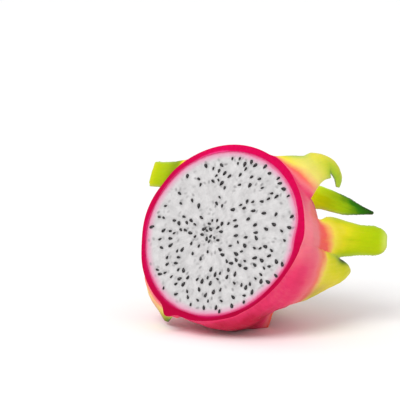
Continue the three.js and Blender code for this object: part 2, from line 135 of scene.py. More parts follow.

# Scales. spine: middle line as (angle, radius, depth). width: half width along it. cup: half angle
# of the curved section. twist: turn about the spine. thick: at root and tip. faces: where the outer
# face looks at the root, if not away from the fruit's axis. blunt: share of the length that rounds off
# to a blunt end. wave: ripple of the margins. tone: place on the skin's run of colours, from crimson
# at 0 to dark green at 1, along the middle line. slant: how much the tone grows from the middle to the
# margin at the lower angle. Patches of stain and painted shade: (along, across, half size along,
# half size across, change of tone, change of light), across being 1 at the margin at the lower angle and
# -1 at the other; a change of light below 0 is painted shade.
# cream: how far the colour pales to cream. light: painted light and shade, how far the colour is
# brightened to stand in for light, or darkened below 0 as painted shade.
# In every pair the first number is the place along the scale, 0 at the root and 1 at the tip.
SCALES = [
    {  # upper right: broad root along the rim, tip hooked over
        "spine": [(46.8, 42.6, 2), (47.6, 46.4, 5), (48.8, 50, 9.1), (50.2, 53.2, 13.9),
                  (51.6, 56.2, 18.2), (52, 58.4, 21.7), (50.9, 59.5, 24.7), (48, 59.4, 26.9),
                  (44.4, 57.9, 28.1), (40.7, 55.2, 28.6)],
        "width": [(0, 14), (0.12, 13), (0.29, 10), (0.42, 8.2), (0.56, 8.7), (0.66, 7.6), (0.77, 6),
                  (0.88, 3.8), (1, 1.4)],
        "cup": [(0, 17), (0.5, 22), (1, 29)],
        "tone": [(0, 0.2), (0.1, 0.37), (0.17, 0.48), (0.25, 0.54), (0.35, 0.6), (0.5, 0.65), (0.65, 0.69),
                 (0.8, 0.74), (0.95, 0.82), (1, 0.82)],
        "slant": [(0, -0.15), (0.1, -0.2), (0.17, -0.18), (0.25, -0.13), (0.4, -0.02), (0.55, 0.08),
                  (0.65, 0.13), (0.85, 0.1), (1, 0)],
        "stains_and_painted_shade": [(0.3, -0.95, 0.12, 0.25, 0.2, -0.1), (0.08, 0.95, 0.08, 0.4, -0.05, 0),
                   (0.5, -0.9, 0.16, 0.25, 0.1, 0), (0.62, 0.9, 0.1, 0.35, 0.12, -0.15)],
        "cream": [(0, 0), (0.12, 0.03), (0.2, 0.28), (0.35, 0.32), (0.55, 0.12), (0.7, 0.08), (1, 0.1)],
    },
    {  # behind it, a long pointed blade turned to show its inner face
        "spine": [(60, 34, 30), (57, 39, 33), (46.5, 44.5, 37), (37, 51, 42), (30, 61, 50)],
        "width": [(0, 8), (0.3, 7.9), (0.42, 6.8), (0.6, 5.4), (0.85, 2.7), (1, 0.5)],
        "cup": [(0, 17), (1, 6)],
        "twist": [(0, 0), (0.4, 30), (1, 50)],
        "tone": [(0, 0.2), (0.14, 0.35), (0.22, 0.55), (0.3, 0.75), (0.4, 0.78), (0.5, 0.82), (0.65, 0.87),
                 (0.8, 0.94), (1, 1)],
        "slant": [(0, 0), (0.35, -0.04), (0.6, -0.04), (1, -0.02)],
        # painted light: the blade is brightened from its middle on, where it lies in the upper right scale's
        # shade
        "light": [(0, 0), (0.16, 0), (0.3, 0.95), (0.4, 0.85), (0.65, 0.45), (0.85, 0), (1, 0)],
    },
    {  # right: blunt finger with rolled margins
        "spine": [(9.6, 42, 4), (10.1, 45.5, 16), (13.1, 50, 28), (14, 57, 37), (13.9, 63.6, 42.8),
                  (13.6, 67.5, 44.8)],
        "width": [(0, 8), (0.15, 8), (0.28, 8.3), (0.4, 9.6), (0.52, 10.4), (0.62, 9.6), (0.75, 8.2),
                  (1, 8.3)],
        "cup": [(0, 11), (0.5, 32), (1, 50)],
        "blunt": 0.12,
        "tone": [(0, 0.2), (0.12, 0.24), (0.2, 0.31), (0.3, 0.34), (0.36, 0.41), (0.45, 0.56),
                 (0.55, 0.62), (0.65, 0.69), (0.75, 0.75), (0.85, 0.79), (0.93, 0.78), (1, 0.75)],
        "slant": [(0, 0), (0.25, -0.02), (0.35, -0.07), (0.45, 0), (0.55, 0.04), (0.65, 0.04),
                  (0.85, -0.04), (1, -0.04)],
        "stains_and_painted_shade": [(0.32, -1, 0.08, 0.3, 0.16, 0), (0.52, -0.85, 0.14, 0.3, 0.12, -0.05),
                   (0.6, 0.1, 0.1, 0.12, 0.05, 0), (0.55, 0.9, 0.15, 0.25, 0.1, -0.08)],
        "cream": [(0, 0), (0.92, 0), (1, 0.28)],
    },
    {  # lower right: the largest, lying close along the body, its far margin folded in
        "spine": [(-25, 41, 4), (-22, 44.6, 9), (-17, 46.2, 17), (-12.8, 46.9, 26), (-8.6, 47.8, 35.5),
                  (-4.9, 48.5, 41.9), (-0.5, 47.8, 48.2)],
        "width": [(0, 15), (0.13, 15.5), (0.33, 15.2), (0.52, 13), (0.72, 10.3), (0.86, 7.9),
                  (0.95, 5.2), (1, 2)],
        "cup": [(0, 23), (0.5, 30), (0.8, 45), (1, 50)],
        "thick": (4.4, 1.6),
        "tone": [(0, 0.12), (0.15, 0.13), (0.21, 0.18), (0.28, 0.25), (0.35, 0.36), (0.4, 0.48),
                 (0.44, 0.56), (0.5, 0.63), (0.65, 0.62), (1, 0.66)],
        "slant": [(0, -0.02), (0.25, 0.07), (0.35, 0.05), (0.45, 0.1), (0.55, 0), (0.7, -0.05), (1, 0)],
        # painted shade: the first patch is a dark band in the crease under the blunt scale; patches that
        # take light away are painted shade too
        "stains_and_painted_shade": [(0.82, -0.92, 0.13, 0.22, 0.2, -1.15), (0.42, -1, 0.09, 0.4, -0.12, 0),
                   (0.1, -1, 0.15, 0.4, 0.07, 0), (0.5, 0.5, 0.16, 0.4, -0.12, -0.45),
                   (0.36, 0.9, 0.12, 0.5, 0, -0.2), (0.6, 1, 0.3, 0.2, 0.1, -0.15)],
        "cream": [(0, 0), (0.3, 0), (0.38, 0.2), (0.45, 0), (1, 0)],
    },
    {  # under the fruit, its end turned up
        "spine": [(-78, 42, 2), (-77, 43.5, 8), (-73, 42, 18), (-66.5, 39.8, 26), (-59, 37.4, 33)],
        "width": [(0, 11), (0.45, 11), (0.8, 8.5), (1, 6.2)],
        "cup": [(0, 17), (1, 14)],
        "twist": [(0, 0), (0.5, 0), (1, -45)],
        # its tone stays near deep crimson all along: partly painted shade, as it lies under the fruit
        "tone": [(0, 0.04), (0.3, 0), (0.5, 0), (0.8, 0.06), (1, 0.38)],
    },
    {  # lower left: a short broad triangle with its point under a corner of the rind
        "spine": [(-129.3, 43.7, 3), (-129.3, 45.3, 4.8), (-128.8, 46.6, 7.4), (-127.2, 48.2, 10.4),
                  (-124.9, 50, 13.6), (-122.9, 51.5, 15.8)],
        "width": [(0, 15), (0.2, 15), (0.42, 13.3), (0.62, 11.6), (0.85, 7.6), (1, 3.2)],
        "cup": [(0, 15), (0.5, 12), (1, 10)],
        "thick": (2.4, 1.4),
        "tone": [(0, 0.2), (0.1, 0.31), (0.25, 0.43), (0.45, 0.46), (0.65, 0.54), (0.85, 0.62), (1, 0.7)],
        # painted shade: the triangle darkens towards its point, where its underside is in shade
        "light": [(0, 0.1), (0.3, 0), (0.5, -0.15), (0.7, -0.45), (0.85, -0.75), (1, -1)],
        "slant": [(0, 0), (0.3, 0), (0.6, -0.24), (0.85, -0.28), (1, -0.16)],
        "cream": [(0, 0), (0.2, 0.22), (0.5, 0.32), (0.75, 0.1), (0.85, 0), (1, 0)],
    },
    {  # upper left: spread outwards, with a cut-off end
        "spine": [(135.7, 40.5, 3.4), (142.8, 46.2, 4.4), (148, 52.4, 5.6), (151.1, 57.6, 6.8)],
        "width": [(0, 8), (0.4, 7), (1, 6.6)],
        "cup": [(0, 14), (1, 6)],
        "faces": (0, 0, 1),
        "tone": [(0, 0.3), (0.07, 0.42), (0.13, 0.6), (0.2, 0.76), (0.5, 0.78), (0.7, 0.77), (0.85, 0.75),
                 (1, 0.71)],
        # painted shade: the spread scale is darkened from just past its root on
        "light": [(0, 0), (0.12, 0), (0.26, -0.6), (0.6, -0.2), (1, -0.1)],
    },
]

# Scales on the far side: angle, depth of the root, length, half width, lean away from the body.
FAR_SCALES = [(95, 2.5, 36, 13, 12), (-172, 2.5, 34, 13, 12), (118, 22, 38, 11, 18),
              (166, 20, 40, 11, 18), (-148, 24, 36, 11, 14), (-106, 24, 34, 10, 2)]
FAR_SINK = 2                 # their spines start this far inside the body
FAR_DROP = 1.6               # and follow it down at most this far, times the square of the step
# Narrow scales round the flower scar: angle, length, lean away from the axis.
CROWN = [(20, 20, 22), (72, 26, 30), (122, 30, 36), (172, 30, 36), (-138, 28, 28), (-88, 22, 8),
         (-36, 14, 10)]
CROWN_ROOT = (14, 46)        # radius and depth of their roots
CROWN_WIDTH = 6
THICKNESS = (3.4, 1.5)       # of a scale at its root and its tip
WAVE = 0.5                   # usual ripple of a scale's margins
WAVE_RUN = 4.3               # length of that ripple, over 2 pi
KEEL = 0.35                  # ridge along the middle of a scale's outer face
NONE = [(0, 0)]              # pairs whose value is 0 all along
# What every point of a scale knows: its colours, whether it is on the inner face, and its place.
# the last fact is painted light and shade, not the scale's own colour
FACTS = ("tone", "margin", "inner_face", "along", "across", "number", "cream", "painted_light_and_shade")

# ---- fineness ----

BODY_ROWS, BODY_SIDES = 80, 220
ROOM_ROWS, ROOM_SIDES = 30, 160
SCALE_ROWS, SCALE_COLUMNS = 72, 30
FACE_ROWS = 118              # rings of points on the pulp's face
WALL_ROWS = 12               # and behind it
SEED_ROWS, SEED_SIDES = 8, 10
BAND = 8                     # voxels that a distance field reaches either side of its surface
ROOT_FILLET = 2.6            # softness of the joint between a scale and the body
MARGIN_FILLET = 0.5          # softness where scales meet each other
RIND_TRIANGLES = 196000      # before the cuts take the front and the inside away
FEWEST_FACES = 1000          # fewer than this after the cuts means that they failed

# ---- studio, in metres and degrees ----

VIEW_AZIMUTH = 31
VIEW_ELEVATION = 10
VIEW_DISTANCE = 0.9
FRAME_WIDTH = 0.192          # what the camera's frame spans at that distance
VIEW_RIGHT = -0.00974        # the frame's middle from the middle of the cut face
VIEW_UP = 0.0158
SENSOR = 36                  # millimetres
WORLD = 0.75                 # brightness of the studio's walls
# Lights, turned from the camera's side.
SUN = {"azimuth": -35, "elevation": 50, "power": 1.3, "spread": 35}
KEY = {"azimuth": -40, "elevation": 42, "distance": 0.8, "size": 0.45, "power": 0.8}
KEY_AIM = (0, 0, 0.04)
FLOOR_REACH = 3.0
FLOOR_DROP = 0.00005         # keeps the floor clear of the flat spot

MM = 0.001


def linear(red, green, blue):
    """A colour given as 0 to 255 on screen, as the scene's own linear values."""
    def channel(value):
        value /= 255
        return value / 12.92 if value <= 0.04045 else ((value + 0.055) / 1.055) ** 2.4
    return channel(red), channel(green), channel(blue)


# ======== properties ========

def length(name, description, default):
    """Property for a length whose default is in millimetres."""
    return bpy.props.FloatProperty(
        name=name, description=description, default=default * MM, min=0, unit="LENGTH",
        subtype="DISTANCE", precision=5)


def colour(name, description, red, green, blue):
    """Property for a colour whose default is given as 0 to 255 on screen."""
    return bpy.props.FloatVectorProperty(
        name=name, description=description, default=linear(red, green, blue), size=3, min=0, max=1,
        subtype="COLOR")


class FruitSizes(bpy.types.PropertyGroup):
    """Sizes of the half fruit"""
    pulp_radius: length("Pulp radius", "Radius of the pulp at the cut", 41)
    pulp_depth: length("Pulp depth", "From the cut face to the end of the pulp", 47)
    rind: length("Rind", "Mean thickness of the rind at the cut", 3.3)
    depth: length("Depth", "From the cut face to the blossom end", 57)
    voxel: length("Fineness", "Grid step that the rind's surface is drawn from", 0.5)
    seed_length: length("Seed length", "Length of a large seed", 2.6)
    seed_width: length("Seed width", "Width of a large seed", 1.5)
    seed_stand: length("Seed stand", "How far a seed stands out of the pulp", 0.4)
    seed_count: bpy.props.IntProperty(
        name="Seeds", description="Dark seeds on the cut face", default=190, min=1, max=400)
    faint_count: bpy.props.IntProperty(
        name="Faint seeds", description="Seeds that show as shadows under the pulp's surface",
        default=190, min=0, max=400)


class FruitColours(bpy.types.PropertyGroup):
    """Colours of the half fruit"""
    crimson: colour("Crimson", "Skin in its deepest places", 188, 24, 62)
    pink: colour("Pink", "Most of the body's skin", 229, 54, 104)
    salmon: colour("Salmon", "Body's skin where it is lighter", 238, 116, 126)
    coral: colour("Coral", "Root of a scale", 243, 98, 88)
    peach: colour("Peach", "Where coral turns to yellow", 246, 180, 98)
    yellow: colour("Yellow", "Lower middle of a scale", 239, 217, 74)
    straw: colour("Straw", "Middle of a scale", 222, 213, 30)
    lime: colour("Lime", "Outer half of a scale", 180, 198, 0)
    green: colour("Green", "Near the end of a scale", 148, 184, 2)
    deep_green: colour("Deep green", "Close to the tip", 46, 118, 2)
    tip: colour("Tip", "The tip itself", 22, 66, 8)
    cream: colour("Cream", "Pale wash on some scales", 232, 234, 160)
    margin: colour("Margin", "Pale line along a scale's margins", 236, 240, 176)
    # painted highlight along the knife's edge
    edge_highlight: colour("Blush", "Skin along the knife's edge", 255, 128, 148)
    pale: colour("Pale skin", "Skin beside the blunt scale", 244, 150, 160)
    ring: colour("Cut rind", "Rind where the knife went through", 214, 0, 80)
    # darker cut rind: its own deep colour, and painted shade on the lower side and at the upper left
    deep_and_shaded_ring: colour("Deep cut rind", "Cut rind where it is thin and dark", 157, 0, 46)
    inner_ring: colour("Inner cut rind", "Cut rind next to the pulp", 196, 8, 92)
    flesh: colour("Pulp", "Pulp", 206, 204, 204)
    lilac: colour("Pulp edge", "Pulp close to the rind", 210, 150, 175)
    stain: colour("Pulp stain", "Pulp that the rind has stained", 208, 60, 116)
    # painted light: the stain colour where it is painted lighter at the upper left
    painted_lit_stain: colour("Lit stain", "The same where light comes through", 240, 92, 158)
    shade: colour("Pulp shade", "Darker pulp, and seeds under its surface", 106, 104, 105)
    seed: colour("Seed", "Seed coat", 20, 17, 20)
    seed_brown: colour("Brown seed", "Browner patches of the seed coat", 48, 36, 38)
    scar: colour("Scar", "Dry flower scar", 128, 92, 58)
    floor: colour("Floor", "Studio floor", 250, 250, 250)


# ======== the fruit's forms ========

def ease(a, b, x):
    """0 up to a, 1 from b on, and smooth between."""
    t = np.clip((x - a) / (b - a), 0, 1)
    return t * t * (3 - 2 * t)


def turn_between(a, b):
    """Degrees from b to a, the short way round."""
    return (a - b + 180) % 360 - 180


def along(knots, u):
    """Smooth curve through (place, value) knots, at every u."""
    u = np.asarray(u, float)
    at = np.array([k[0] for k in knots], float)
    value = np.array([k[1] for k in knots], float)
    if len(knots) == 1:
        return np.full(u.shape, value[0])
    slope = np.empty(len(knots))
    slope[1:-1] = (value[2:] - value[:-2]) / (at[2:] - at[:-2])
    slope[0] = (value[1] - value[0]) / (at[1] - at[0])
    slope[-1] = (value[-1] - value[-2]) / (at[-1] - at[-2])
    i = np.clip(np.searchsorted(at, u, side="right") - 1, 0, len(knots) - 2)
    h = at[i + 1] - at[i]
    t = (u - at[i]) / h
    return ((2 * t ** 3 - 3 * t ** 2 + 1) * value[i] + (t ** 3 - 2 * t ** 2 + t) * h * slope[i]
            + (3 * t ** 2 - 2 * t ** 3) * value[i + 1] + (t ** 3 - t ** 2) * h * slope[i + 1])


def place(angle, radius, depth):
    """X, Y and Z of places on the fruit."""
    turn = np.radians(angle)
    return np.stack(np.broadcast_arrays(radius * np.cos(turn), radius * np.sin(turn), -depth), axis=-1)


def bumps(outline, angle):
    """Sum of an outline's rises, each given as (angle, height, half width)."""
    return sum(height * np.exp(-(turn_between(angle, at) / half) ** 2) for at, height, half in outline)


class Fruit:
    """The body and the pulp as surfaces of revolution with ribs and flats, from the chosen sizes."""

    def __init__(self, sizes):
        self.pulp_radius = sizes.pulp_radius / MM
        self.pulp_depth = sizes.pulp_depth / MM
        self.outer_radius = self.pulp_radius + sizes.rind / MM
        self.depth = sizes.depth / MM

    def swell(self, depth, radius, whole):
        """Radius at a depth of a form that rounds off to nothing over its whole depth."""
        t = np.clip(depth / whole, 0, 1)
        return radius * (1 - t ** FULLNESS[0]) ** FULLNESS[1]

    def flats(self, angle, depth):
        return sum(drop * np.exp(-(turn_between(angle, at) / half) ** 2) * ease(start, full, depth)
                   for at, drop, half, start, full in FLATS)

    def body(self, angle, depth):
        """Outer radius of the rind without its scales."""
        r = self.swell(depth, self.outer_radius, self.depth)
        ribs = OFF_CENTRE * np.cos(np.radians(angle))
        for at, height, half, run in RIBS:
            ribs = ribs + bumps([(at, height, half)], angle) * (1 - ease(run * 0.4, run, depth))
        behind = ease(0, RIM_RUN, depth)
        extra = ribs * behind + bumps(RIND_RIM, angle) * (1 - behind) - self.flats(angle, depth)
        return r + extra * r / self.outer_radius

    def pulp(self, angle, depth, grown=0.0):
        """Radius of the pulp, grown by a distance."""
        r = self.swell(depth, self.pulp_radius, self.pulp_depth)
        rim = bumps(PULP_RIM, angle) * (1 - ease(0, RIM_RUN, depth))
        return r + (rim - self.flats(angle, depth)) * r / self.pulp_radius + grown


# ---- meshes as plain arrays ----

def ringed(rings, first, last):
    """Closed surface from rows of points, closed by a point at each end: (points, quads, triangles)."""
    rings = np.asarray(rings, float)
    rows, sides = rings.shape[:2]
    points = np.concatenate([rings.reshape(-1, 3), [first, last]])
    j = np.arange(sides)
    k = (j + 1) % sides
    quads = [np.stack([i * sides + j, (i + 1) * sides + j, (i + 1) * sides + k, i * sides + k], axis=1)
             for i in range(rows - 1)]
    end = (rows - 1) * sides
    caps = [np.stack([np.full(sides, rows * sides), j, k], axis=1),
            np.stack([np.full(sides, rows * sides + 1), end + k, end + j], axis=1)]
    return points, np.concatenate(quads), np.concatenate(caps)


def merge_faces(surface):
    """The surface as points and one list of faces."""
    points, quads, triangles = surface
    return points, [list(q) for q in quads] + [list(t) for t in triangles]


def surface_rings(radius_at, sides, depths):
    """Rings of points round the fruit's axis, one for each depth."""
    angle = np.arange(sides) * 360 / sides
    return [place(angle, radius_at(angle, max(depth, 0)), depth) for depth in depths]


def row_depths(rows, whole):
    """Depths of rows from ahead of the cut face to the blossom end, closer together towards it."""
    back = whole * np.sin(np.arange(rows) / rows * np.pi / 2)
    return np.concatenate([np.linspace(-CUT_MARGIN, 0, 4)[:-1], back])


def new_object(name, points, faces, matrix=None):
    mesh = bpy.data.meshes.new(name)
    mesh.from_pydata([tuple(p) for p in np.asarray(points, float)], [], [list(map(int, f)) for f in faces])
    mesh.update()
    if matrix is not None:
        mesh.transform(matrix)
    made = bpy.data.objects.new(name, mesh)
    bpy.context.scene.collection.objects.link(made)
    return made


def bake_modifiers(made):
    """Applies every modifier of the object."""
    bpy.context.view_layer.update()
    evaluated = made.evaluated_get(bpy.context.evaluated_depsgraph_get())
    mesh = bpy.data.meshes.new_from_object(evaluated)
    made.modifiers.clear()
    old, made.data = made.data, mesh
    mesh.name = made.name
    bpy.data.meshes.remove(old)


def vectors(items, name):
    """A vector of every vertex or face, as rows."""
    out = np.empty(len(items) * 3, np.float32)
    items.foreach_get(name, out)
    return out.reshape(-1, 3).astype(float)


def attribute(mesh, name, values):
    """A value or a vector on every vertex."""
    values = np.asarray(values, np.float32)
    kind = "FLOAT_VECTOR" if values.ndim == 2 else "FLOAT"
    made = mesh.attributes.new(name, kind, "POINT")
    made.data.foreach_set("vector" if values.ndim == 2 else "value", values.ravel())


def lie_down():
    """From the fruit frame in millimetres to the table in metres."""
    return (Matrix.Diagonal((MM, MM, MM, 1))
            @ Matrix.Translation((PLACE[0], PLACE[1], FACE_HEIGHT))
            @ Matrix.Rotation(math.radians(90 - LEAN), 4, "X"))


# ---- scales ----

def spine_points(knots, steps):
    """Evenly spaced points on a smooth curve through the knots, and its tangents."""
    p = place(*[np.array(column, float) for column in zip(*knots)])
    p = np.concatenate([[2 * p[0] - p[1]], p, [2 * p[-1] - p[-2]]])
    fine = np.linspace(0, len(knots) - 1, 401)
    i = np.minimum(fine.astype(int), len(knots) - 2)
    t = (fine - i)[:, None]
    before, a, b, after = p[i], p[i + 1], p[i + 2], p[i + 3]
    start, stop = (b - before) / 2, (after - a) / 2
    curve = a + start * t + (3 * (b - a) - 2 * start - stop) * t ** 2 + (2 * (a - b) + start + stop) * t ** 3
    run = np.concatenate([[0], np.cumsum(np.linalg.norm(np.diff(curve, axis=0), axis=1))])
    even = np.linspace(0, run[-1], steps + 1)
    points = np.stack([np.interp(even, run, curve[:, k]) for k in range(3)], axis=1)
    ahead = np.concatenate([points[1:], points[-1:]])
    behind = np.concatenate([points[:1], points[:-1]])
    tangents = ahead - behind
    return points, tangents / np.linalg.norm(tangents, axis=1)[:, None], run[-1]


def facing_along(spec, u, tangents):
    """Where the outer face looks at each step of the spine, carried along it and twisted."""
    outward = np.array(spec.get("faces", place(spec["spine"][0][0], 1.0, 0.0)), float)
    facing = []
    for tangent, turn in zip(tangents, np.radians(along(spec.get("twist", NONE), u))):
        outward = outward - tangent * (outward @ tangent)
        outward = outward / np.linalg.norm(outward)
        facing.append(outward * math.cos(turn) + np.cross(tangent, outward) * math.sin(turn))
    return np.array(facing)


class Scale:
    """One leafy scale: a cupped sheet along a spine, thick at its root and thin at its margins.

    On its grid of points u runs from 0 at the root to 1 at the tip, and v from -1 to 1 across.
    """

    def __init__(self, spec, number):
        self.number = number
        points, tangents, self.run = spine_points(spec["spine"], SCALE_ROWS)
        u = np.linspace(0, 1, SCALE_ROWS + 1)
        v = np.sin(np.linspace(-1, 1, SCALE_COLUMNS + 1) * np.pi / 2)
        self.u, self.v = np.meshgrid(u, v, indexing="ij")
        facing = facing_along(spec, u, tangents)
        across = np.cross(tangents, facing)[:, None]
        facing = facing[:, None]

        blunt = spec.get("blunt", 0)
        taper = np.maximum(0, (u - 1 + blunt) / blunt) if blunt else np.zeros_like(u)
        half = along(spec["width"], u) * np.sqrt(1 - (0.9 * taper) ** 2)
        bend = np.radians(along(spec["cup"], u))
        self.half = half[:, None] + 0 * self.v
        arc = (self.v * bend[:, None])[..., None]
        radius = (half / bend)[:, None, None]
        normal = facing * np.cos(arc) + across * np.sin(arc)
        middle = points[:, None] + across * radius * np.sin(arc) - facing * radius * (1 - np.cos(arc))
        middle = middle + normal * self.ripple(spec.get("wave", WAVE))[..., None]
        thick, keel = self.thickness(*spec.get("thick", THICKNESS))
        self.outer = middle + normal * (thick / 2 + keel)[..., None]
        self.inner = middle - normal * (thick / 2)[..., None]
        self.paint(spec, end_rim=0.6 if blunt else 0.2)

    def ripple(self, wave):
        """How far the sheet swings in and out towards its margins."""
        rise = wave * ease(0.15, 0.5, self.u) * (1 - ease(0.85, 1, self.u))
        phase = self.u * self.run / WAVE_RUN + self.number * 2.4 + np.sign(self.v)
        return rise * (np.sin(phase) * np.abs(self.v) ** 3)

    def thickness(self, root, tip):
        """Thickness of the sheet, and height of the ridge along the middle of its outer face."""
        thick = root + (tip - root) * ease(0.1, 0.8, self.u)
        edge = (1 - 0.5 * np.abs(self.v) ** 2.5) * np.sqrt(1 - np.abs(self.v) ** 14 * 0.8)
        return thick * edge, KEEL * np.exp(-(self.v / 0.22) ** 2) * (1 - ease(0.5, 0.95, self.u))

    def paint(self, spec, end_rim):
        """Works out the colours over the sheet."""
        self.tone = along(spec["tone"], self.u) + along(spec.get("slant", NONE), self.u) * self.v
        # painted light and shade along the scale, from its light column
        self.light = along(spec.get("light", NONE), self.u)
        # a patch's change of light below 0 is painted shade; in the lower right scale's crease its change of
        # tone is painted shade too
        for at, across, reach, breadth, tone, light in spec.get("stains_and_painted_shade", []):
            patch = np.exp(-((self.u - at) / reach) ** 2 - ((self.v - across) / breadth) ** 2)
            self.tone += tone * patch
            self.light += light * patch
        self.cream = np.clip(along(spec.get("cream", NONE), self.u), 0, 1)
        sides = ease(0.72, 1.0, np.abs(self.v)) * ease(0.2, 0.45, self.u)
        self.rim = np.maximum(sides, ease(0.95, 1.0, self.u) * end_rim)

    def surface(self):
        """Closed mesh of the scale: (points, quads, triangles)."""
        rings = np.concatenate([self.inner, self.outer[:, ::-1]], axis=1)
        return ringed(rings, rings[0].mean(axis=0), rings[-1].mean(axis=0))

    def samples(self):
        """Points on both faces, each with its facts in the order of FACTS."""
        same = np.ones(self.u.shape)
        for points, inner in ((self.outer, 0.0), (self.inner, 1.0)):
            columns = (self.tone, self.rim, same * inner, self.u * self.run, self.v * self.half,
                       same * self.number, self.cream, self.light)
            yield points.reshape(-1, 3), np.stack([c.ravel() for c in columns], axis=1)


def far_scale(fruit, angle, root, run, half, lean):
    """Scale on the far side that follows the body and leans away from it."""
    step = run / 3
    low = fruit.body(angle, max(root, 0))
    spine = []
    for k in range(4):
        depth = root + step * k * math.cos(math.radians(lean))
        on_body = fruit.body(angle, min(max(depth, 0), fruit.depth * 0.8))
        radius = max(on_body, low - FAR_DROP * k ** 2) - FAR_SINK + k * step * math.sin(math.radians(lean))
        spine.append((angle, float(radius), depth))
    return {
        "spine": spine,
        "width": [(0, half), (0.3, half * 0.94), (0.65, half * 0.6), (0.88, half * 0.27), (1, 0.6)],
        "cup": [(0, 17), (1, 20)],
        "tone": [(0, 0.12), (0.3, 0.16), (0.48, 0.38), (0.6, 0.56), (0.8, 0.72), (0.93, 0.84), (1, 0.95)],
        "wave": 0.7,
    }


def crown_scale(angle, run, lean):
    """Narrow scale beside the flower scar."""
    radius, depth = CROWN_ROOT
    spine = []
    for k in range(4):
        turn = math.radians(lean * (0.35 + 0.45 * k))
        spine.append((angle, radius + k * run / 3 * math.sin(turn), depth + k * run / 3 * math.cos(turn)))
    return {
        "spine": spine,
        "width": [(0, CROWN_WIDTH), (0.4, CROWN_WIDTH * 0.95), (0.75, CROWN_WIDTH * 0.6), (1, 0.6)],
        "cup": [(0, 26), (1, 17)],
        "tone": [(0, 0.14), (0.3, 0.3), (0.45, 0.52), (0.7, 0.72), (0.9, 0.86), (1, 0.97)],
        "wave": 0.3,
    }


# ---- distance fields ----

def distance_box(surface, voxel, low, shape):
    """Signed distance to a closed mesh on a box of grid points."""
    points, quads, triangles = surface
    grid = openvdb.FloatGrid.createLevelSetFromPolygons(
        points.astype(np.float32), triangles=triangles.astype(np.uint32), quads=quads.astype(np.uint32),
        transform=openvdb.createLinearTransform(voxel), halfWidth=float(BAND))
    box = np.empty(shape, np.float32)
    grid.copyToArray(box, ijk=tuple(int(i) for i in low))
    return box


def soft_union(a, b, softness):
    """Both fields as one, with a fillet where they meet."""
    meet = np.maximum(softness - np.abs(a - b), 0) / softness
    return np.minimum(a, b) - meet * meet * softness / 4


def skin_surface(fruit, scales, voxel):
    """The body and its scales grown together into one closed surface: points and quads."""
    rings = surface_rings(fruit.body, BODY_SIDES, row_depths(BODY_ROWS, SCAR_DEPTH))
    scar_rim = (fruit.body(0, SCAR_DEPTH), SCAR_DEPTH)
    for radius, depth in [scar_rim] + SCAR[:-1]:
        rings.append(place(np.arange(BODY_SIDES) * 360 / BODY_SIDES, radius, depth))
    body = ringed(rings, (0, 0, CUT_MARGIN), (0, 0, -SCAR[-1][1]))

    leaves = [scale.surface() for scale in scales]
    corners = np.concatenate([body[0]] + [leaf[0] for leaf in leaves])
    low = np.floor(corners.min(axis=0) / voxel).astype(int) - BAND - 2
    shape = np.ceil(corners.max(axis=0) / voxel).astype(int) + BAND + 2 - low
    far = np.float32(BAND * voxel)
    grown = np.full(shape, far, np.float32)
    for leaf in leaves:
        start = np.floor(leaf[0].min(axis=0) / voxel).astype(int) - BAND - 1
        size = np.ceil(leaf[0].max(axis=0) / voxel).astype(int) + BAND + 1 - start
        part = distance_box(leaf, voxel, start, tuple(size))
        window = tuple(slice(s, s + n) for s, n in zip(start - low, size))
        grown[window] = soft_union(grown[window], part, MARGIN_FILLET)
    whole = soft_union(distance_box(body, voxel, low, tuple(shape)), grown, ROOT_FILLET)

    grid = openvdb.FloatGrid(float(far))
    grid.transform = openvdb.createLinearTransform(voxel)
    grid.copyFromArray(np.minimum(whole, far), ijk=tuple(int(i) for i in low))
    points, _, quads = grid.convertToPolygons(0.0, 0.0)
    return points, quads


# ---- the rind ----

def box_cutter(name, matrix):
    """A large slab whose middle is at the matrix."""
    w, t = CUTTER_HALF
    points = [(x, y, z) for x in (-w, w) for y in (-w, w) for z in (-t, t)]
    faces = [(0, 1, 3, 2), (4, 6, 7, 5), (0, 4, 5, 1), (2, 3, 7, 6), (0, 2, 6, 4), (1, 5, 7, 3)]
    return new_object(name, points, faces, matrix)


def cut_away(made, cutters):
    """Cuts the cutters' shapes out of the object and deletes the cutters."""
    for cutter in cutters:
        cut = made.modifiers.new("cut", "BOOLEAN")
        cut.operation = "DIFFERENCE"
        cut.solver = "MANIFOLD"
        cut.object = cutter
    bake_modifiers(made)
    for cutter in cutters:
        bpy.data.objects.remove(cutter)
    if len(made.data.polygons) < FEWEST_FACES:
        raise RuntimeError("the rind's cuts failed")


def thin_out(made, target):
    """Brings the mesh down to about that many triangles."""
    count = sum(len(p.vertices) - 2 for p in made.data.polygons)
    if count > target:
        thin = made.modifiers.new("thin", "DECIMATE")
        thin.ratio = target / count
        bake_modifiers(made)


def uneven(points, normals, size, height, seed):
    """Moves the points in and out by a soft random relief."""
    offset = Vector((seed, seed * 0.7, seed * 1.3))
    lift = [noise.noise(Vector(p) / size + offset) for p in points]
    return points + normals * (np.array(lift) * height)[:, None]


def around(points):
    """Angle, radius and depth of points given along X, Y and Z."""
    x, y, z = points.T
    return np.degrees(np.arctan2(y, x)), np.hypot(x, y), -z


def facts_nearby(points, scales):
    """Mean of the facts at the three nearest points of one scale, and the distance to it."""
    spots, facts = zip(*[pair for scale in scales for pair in scale.samples()])
    spots, facts = np.concatenate(spots), np.concatenate(facts)
    tree = KDTree(len(spots))
    for i, spot in enumerate(spots):
        tree.insert(spot, i)
    tree.balance()
    nearest = np.array([[(i, d) for _, i, d in tree.find_n(p, 3)] for p in points])
    index, distance = nearest[..., 0].astype(int), nearest[..., 1]
    weight = 1 / (distance + 0.05) ** 2
    number = facts[index][..., FACTS.index("number")]
    weight[number != number[:, :1]] = 0
    weight = weight / weight.sum(axis=1, keepdims=True)
    mixed = (facts[index] * weight[..., None]).sum(axis=1)
    return dict(zip(FACTS, mixed.T)), distance[:, 0]


